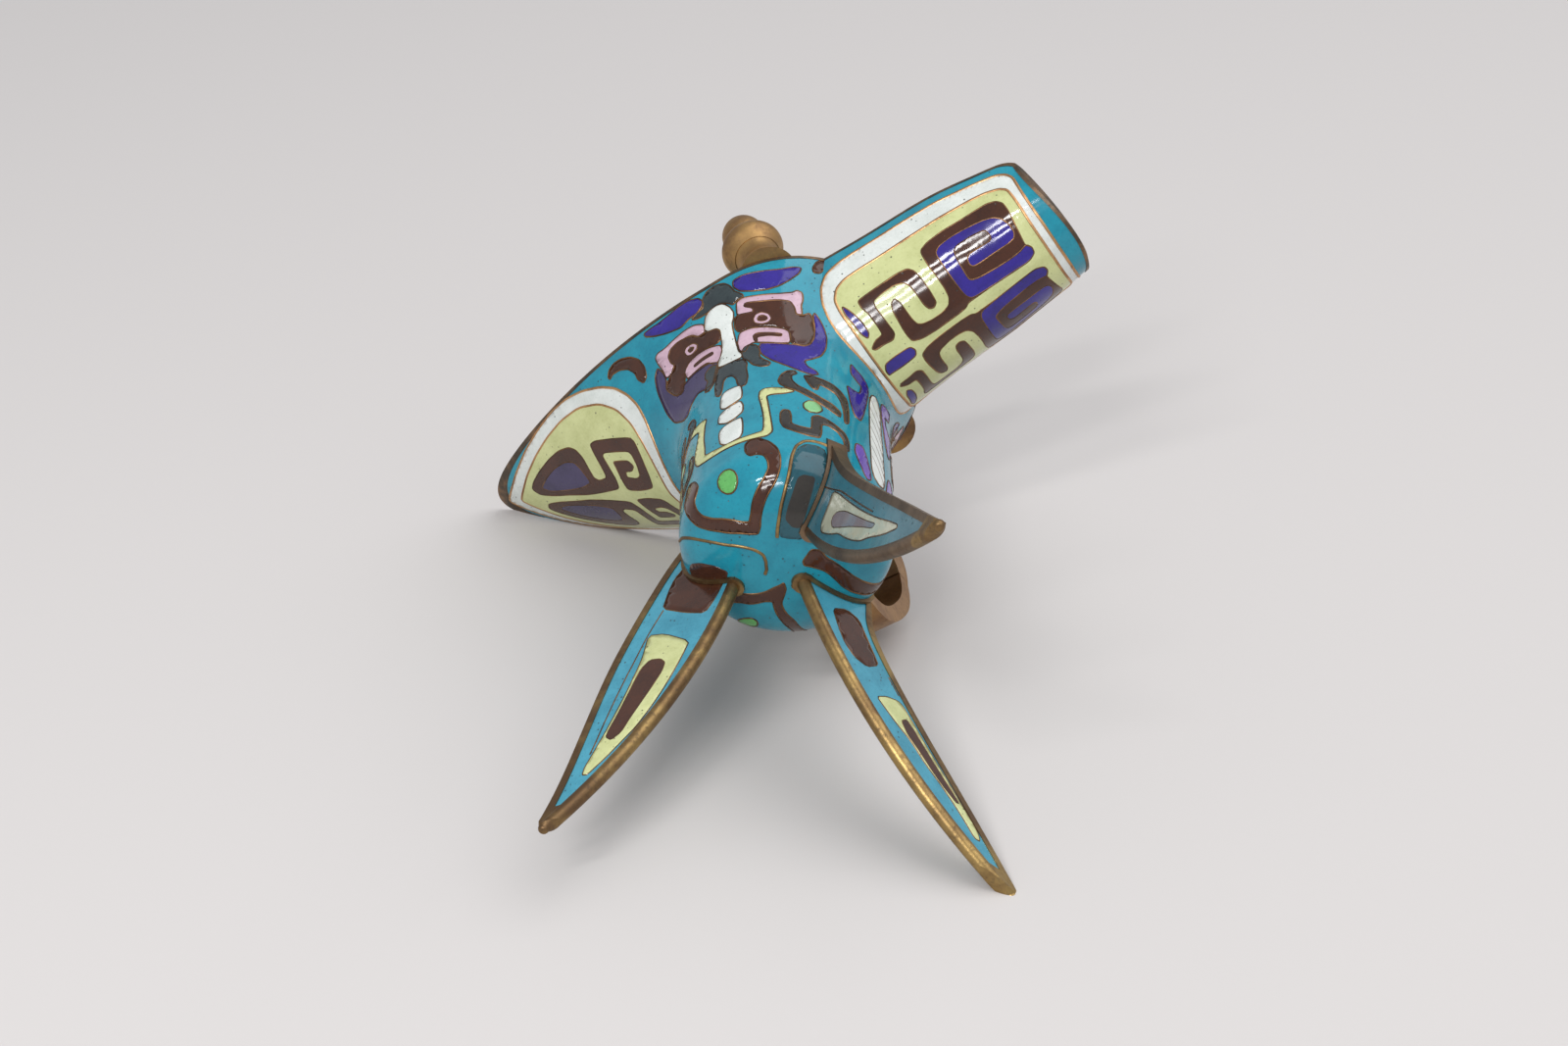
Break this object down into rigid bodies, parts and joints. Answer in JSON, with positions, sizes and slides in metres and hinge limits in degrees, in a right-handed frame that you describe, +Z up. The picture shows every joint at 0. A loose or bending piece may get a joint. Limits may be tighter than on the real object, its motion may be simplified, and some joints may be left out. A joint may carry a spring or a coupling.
{
  "type": "jue ritual vessel",
  "caption": "Tripod jue wine vessel in enamel on gilt copper: round bowl, long open spout, pointed tail, side handle and knobbed rim posts.",
  "frame": {"origin": "middle of the base: centre of the bounding box in X and Y, on the plane of the three leg tips", "axes": "+Z up, +X from the pointed tail to the open spout, +Y towards the handle"},
  "size_m": [0.15, 0.0856, 0.1447],
  "materials": {
    "cloisonne_enamel": "gloss",
    "leg_enamel": "gloss",
    "lining_enamel": "gloss",
    "copper": "satin",
    "gilt_copper": "satin"
  },
  "bodies": {
    "root": {"bowl_enamel": "cloisonne_enamel", "bowl_lining": "lining_enamel", "bowl_shell": "copper", "handle_head": "gilt_copper", "handle_leg_core": "copper", "handle_leg_inner_bead": "gilt_copper", "handle_leg_left_enamel": "leg_enamel", "handle_leg_outer_edge": "gilt_copper", "handle_leg_right_enamel": "leg_enamel", "handle_leg_root_collar": "gilt_copper", "handle_leg_tip": "gilt_copper", "handle_lower_pad": "gilt_copper", "handle_strap": "gilt_copper", "handle_upper_pad": "gilt_copper", "left_mouth_rim_edge": "gilt_copper", "left_post_cap": "gilt_copper", "left_post_foot": "gilt_copper", "left_post_knob": "gilt_copper", "left_post_stem": "gilt_copper", "mouth_enamel": "cloisonne_enamel", "mouth_lining": "lining_enamel", "mouth_shell": "copper", "right_mouth_rim_edge": "gilt_copper", "right_post_cap": "gilt_copper", "right_post_foot": "gilt_copper", "right_post_knob": "gilt_copper", "right_post_stem": "gilt_copper", "spout_enamel": "cloisonne_enamel", "spout_leg_core": "copper", "spout_leg_inner_bead": "gilt_copper", "spout_leg_left_enamel": "leg_enamel", "spout_leg_outer_edge": "gilt_copper", "spout_leg_right_enamel": "leg_enamel", "spout_leg_root_collar": "gilt_copper", "spout_leg_tip": "gilt_copper", "spout_lining": "lining_enamel", "spout_rim_edge": "gilt_copper", "spout_shell": "copper", "tail_enamel": "cloisonne_enamel", "tail_leg_core": "copper", "tail_leg_inner_bead": "gilt_copper", "tail_leg_left_enamel": "leg_enamel", "tail_leg_outer_edge": "gilt_copper", "tail_leg_right_enamel": "leg_enamel", "tail_leg_root_collar": "gilt_copper", "tail_leg_tip": "gilt_copper", "tail_lining": "lining_enamel", "tail_rim_edge": "gilt_copper", "tail_shell": "copper"}
  },
  "joints": []
}
